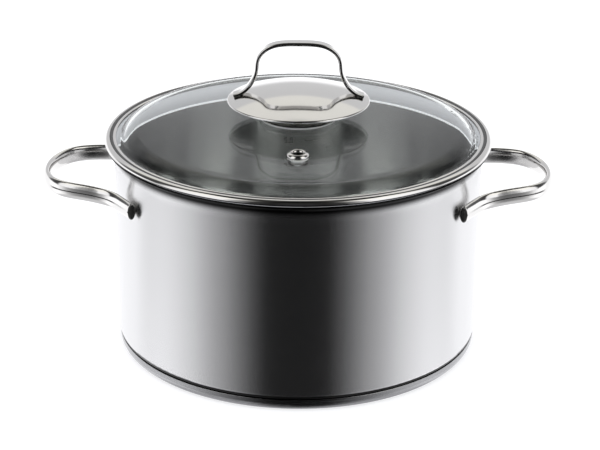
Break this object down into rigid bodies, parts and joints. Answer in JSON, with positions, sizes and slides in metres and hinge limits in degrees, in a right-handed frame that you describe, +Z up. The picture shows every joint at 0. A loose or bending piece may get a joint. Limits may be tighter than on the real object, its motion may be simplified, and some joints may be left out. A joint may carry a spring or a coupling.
{
  "type": "stock pot",
  "caption": "Straight-sided stainless stock pot with pouring rim, encapsulated base, bent bar side handles and a lift-off domed glass lid with steam vent and loop handle.",
  "frame": {"origin": "centre of the base's underside, on the surface that the pot stands on", "axes": "+Z up along the pot's axis, +X through the two side handles, -Y towards the lid's steam vent"},
  "size_m": [0.3352, 0.2522, 0.2039],
  "materials": {
    "brushed_steel": "satin, fine circumferential brushing outside",
    "polished_steel": "mirror-polished stainless steel",
    "aluminium": "rolled",
    "glass": "clear tempered glass",
    "silicone": "matt translucent silicone"
  },
  "bodies": {
    "pot": {"pot_shell": "brushed_steel", "base_core_disc": "aluminium", "base_cap": "brushed_steel", "left_handle": "polished_steel", "right_handle": "polished_steel", "left_handle_weld_pads": "polished_steel", "right_handle_weld_pads": "polished_steel"},
    "lid": {"lid_glass": "glass", "lid_rim_band": "polished_steel", "vent_eyelet": "polished_steel", "vent_seal": "silicone", "vent_washer": "polished_steel", "lid_handle_disc": "polished_steel", "lid_handle_strap": "polished_steel", "strap_weld_pads": "polished_steel", "disc_boss": "polished_steel", "disc_nut": "polished_steel", "upper_gasket": "silicone", "lower_gasket": "silicone", "under_washer": "polished_steel", "spring_washer": "polished_steel", "lid_screw": "polished_steel"}
  },
  "joints": [
    {"name": "lid_lift", "type": "slide", "parent": "pot", "child": "lid", "axis": [0, 0, 1], "range_m": [0, 0.25]}
  ]
}
